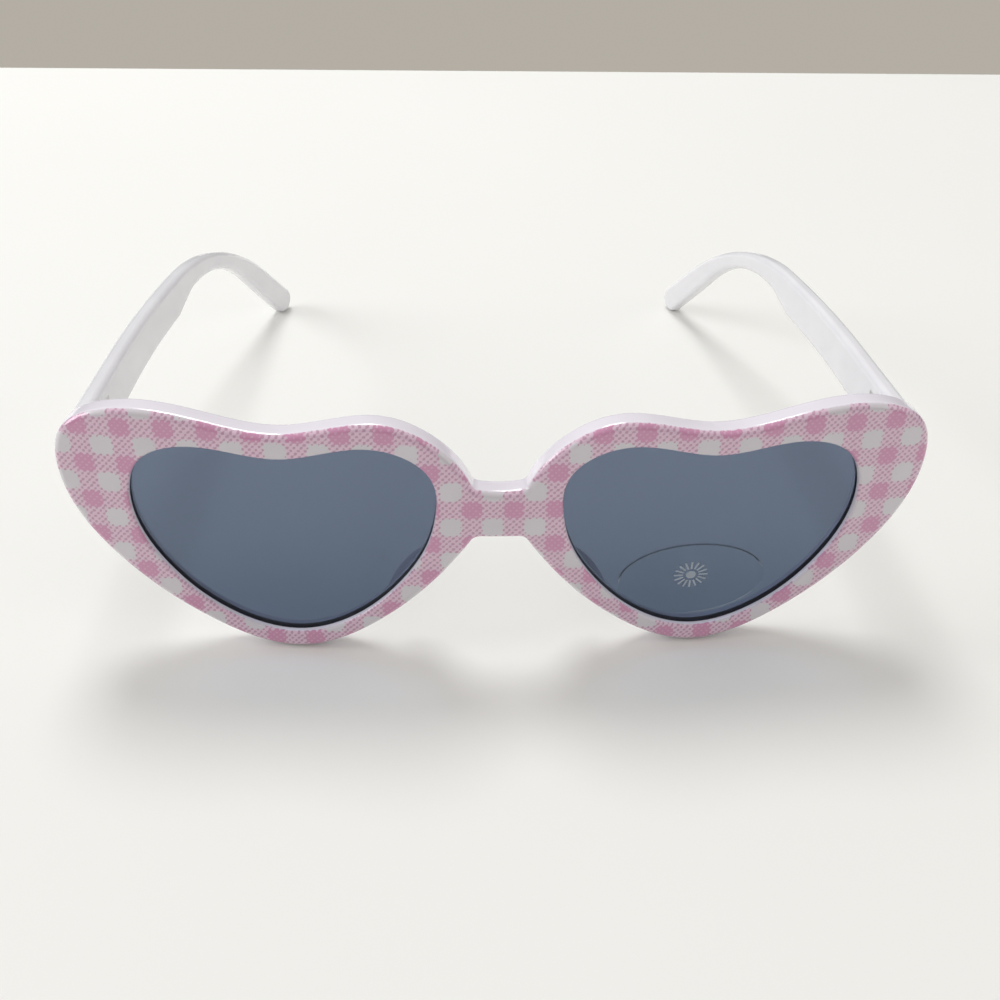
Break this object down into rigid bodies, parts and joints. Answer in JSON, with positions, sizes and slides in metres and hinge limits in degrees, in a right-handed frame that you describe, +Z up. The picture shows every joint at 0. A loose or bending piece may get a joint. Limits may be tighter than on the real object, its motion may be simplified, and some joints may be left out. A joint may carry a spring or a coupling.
{
  "type": "heart shaped sunglasses",
  "caption": "Children's sunglasses with a heart shaped gingham front, tinted lenses held in grooves, and folding temples on screwed hinges.",
  "frame": {"origin": "bottom centre of the bounding box with both temples open, on the surface the glasses stand on", "axes": "+X to the wearer's left, +Y from the front back along the temples, +Z up from the heart tips and temple ends"},
  "size_m": [0.1282, 0.1166, 0.0416],
  "materials": {
    "printed_plastic": "glossy white, printed with pink gingham on the front face",
    "white_plastic": "glossy white",
    "tinted_lens": "polished smoke tint",
    "clear_film": "clear",
    "hinge_steel": "nickel plated",
    "screw_steel": "turned"
  },
  "bodies": {
    "front": {"front_frame": "printed_plastic", "left_lens": "tinted_lens", "right_lens": "tinted_lens", "lens_film": "clear_film", "left_front_hinge": "hinge_steel", "right_front_hinge": "hinge_steel", "left_hinge_screw": "screw_steel", "right_hinge_screw": "screw_steel"},
    "left_arm": {"left_temple": "white_plastic", "left_temple_hinge": "hinge_steel"},
    "right_arm": {"right_temple": "white_plastic", "right_temple_hinge": "hinge_steel"}
  },
  "joints": [
    {"name": "left_temple_fold", "type": "hinge", "parent": "front", "child": "left_arm", "pos_m": [0.0581, -0.04593, 0.03307], "axis": [0, 0.0854, 0.9963], "range_deg": [0, 84]},
    {"name": "right_temple_fold", "type": "hinge", "parent": "front", "child": "right_arm", "pos_m": [-0.0581, -0.04593, 0.03307], "axis": [0, -0.0854, -0.9963], "range_deg": [0, 79]}
  ]
}
